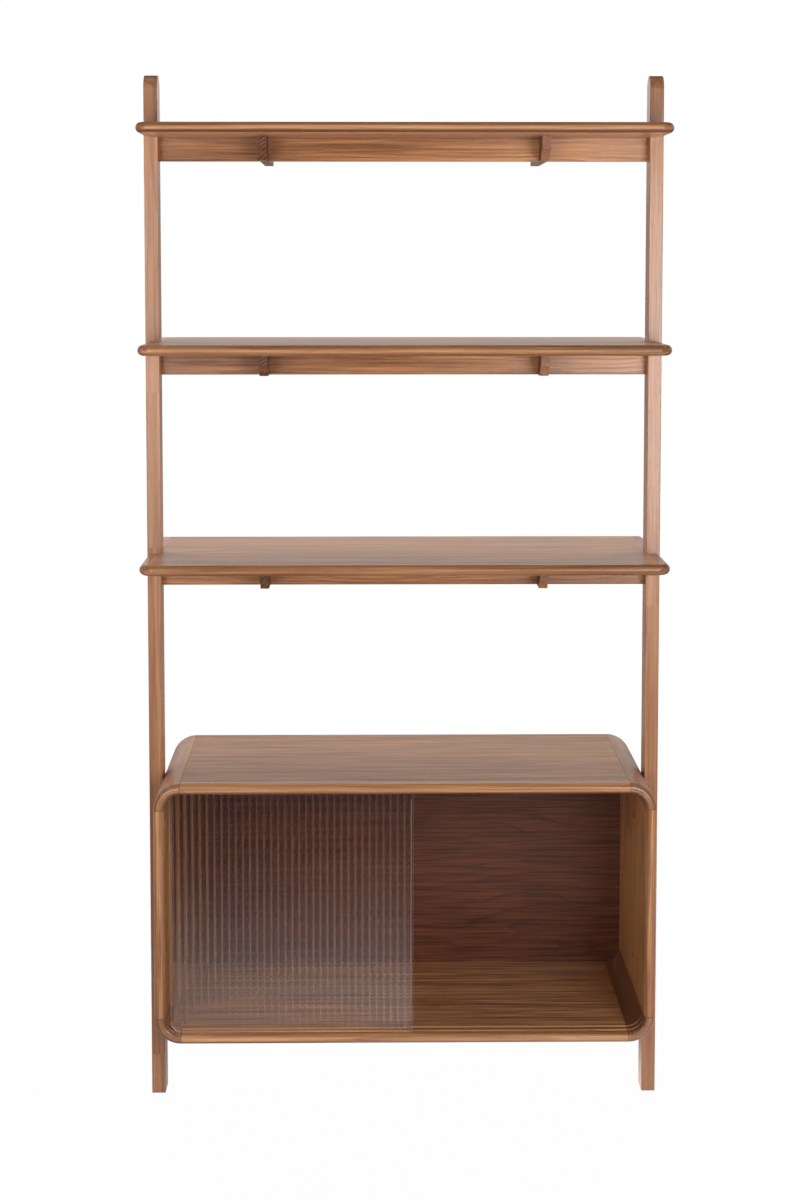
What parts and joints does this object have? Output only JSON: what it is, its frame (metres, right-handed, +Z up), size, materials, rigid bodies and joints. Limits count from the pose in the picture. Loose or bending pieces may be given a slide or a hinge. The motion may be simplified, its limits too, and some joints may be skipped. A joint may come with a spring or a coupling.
{
  "type": "shelving unit",
  "caption": "Tall open wooden shelving unit with round-nosed shelves on slim posts and a round-cornered lower cabinet behind sliding fluted glass doors.",
  "frame": {"origin": "on the floor, in the middle of the unit's width and depth", "axes": "+Z up, -Y towards the front, +X to the right as seen from the front"},
  "size_m": [0.9, 0.38, 1.7999],
  "materials": {
    "post_wood": "satin oiled hardwood, upright grain",
    "edging_wood": "satin oiled hardwood, grain along the edge",
    "shelf_veneer": "satin hardwood veneer",
    "rail_wood": "satin oiled hardwood",
    "bearer_wood": "satin oiled hardwood",
    "corner_wood": "satin oiled hardwood",
    "cabinet_veneer": "satin hardwood veneer",
    "back_veneer": "satin hardwood veneer",
    "dowel_beech": "plain turned beech",
    "fluted_glass": "clear fluted glass, polished edges",
    "dark_steel": "dark burnished steel",
    "zinc_steel": "bright zinc plate"
  },
  "bodies": {
    "unit": {"back_screws": "zinc_steel", "barrel_nuts": "zinc_steel", "bearer_lower_left": "bearer_wood", "bearer_lower_right": "bearer_wood", "bearer_middle_left": "bearer_wood", "bearer_middle_right": "bearer_wood", "bearer_screws": "zinc_steel", "bearer_top_left": "bearer_wood", "bearer_top_right": "bearer_wood", "bracket_screws": "zinc_steel", "cabinet_back": "back_veneer", "cabinet_bolts": "dark_steel", "cabinet_bottom": "cabinet_veneer", "cabinet_edging_bottom": "edging_wood", "cabinet_edging_left": "edging_wood", "cabinet_edging_right": "edging_wood", "cabinet_edging_top": "edging_wood", "cabinet_side_left": "cabinet_veneer", "cabinet_side_right": "cabinet_veneer", "cabinet_top": "cabinet_veneer", "corner_bottom_left": "corner_wood", "corner_bottom_right": "corner_wood", "corner_dowels": "dowel_beech", "corner_top_left": "corner_wood", "corner_top_right": "corner_wood", "edging_lower": "edging_wood", "edging_lower_rear_left": "edging_wood", "edging_lower_rear_right": "edging_wood", "edging_middle": "edging_wood", "edging_middle_rear_left": "edging_wood", "edging_middle_rear_right": "edging_wood", "edging_top": "edging_wood", "edging_top_rear_left": "edging_wood", "edging_top_rear_right": "edging_wood", "frame_bolts": "dark_steel", "post_left": "post_wood", "post_right": "post_wood", "rail_dowels": "dowel_beech", "rail_lower": "rail_wood", "rail_middle": "rail_wood", "rail_top": "rail_wood", "shelf_lower": "shelf_veneer", "shelf_middle": "shelf_veneer", "shelf_top": "shelf_veneer", "threaded_inserts": "zinc_steel", "wall_brackets": "zinc_steel"},
    "front_door": {"door_front": "fluted_glass"},
    "rear_door": {"door_rear": "fluted_glass"}
  },
  "joints": [
    {"name": "front_door_slide", "type": "slide", "parent": "unit", "child": "front_door", "axis": [1, 0, 0], "range_m": [-0.007, 0.381]},
    {"name": "rear_door_slide", "type": "slide", "parent": "unit", "child": "rear_door", "axis": [1, 0, 0], "range_m": [0, 0.396]}
  ]
}
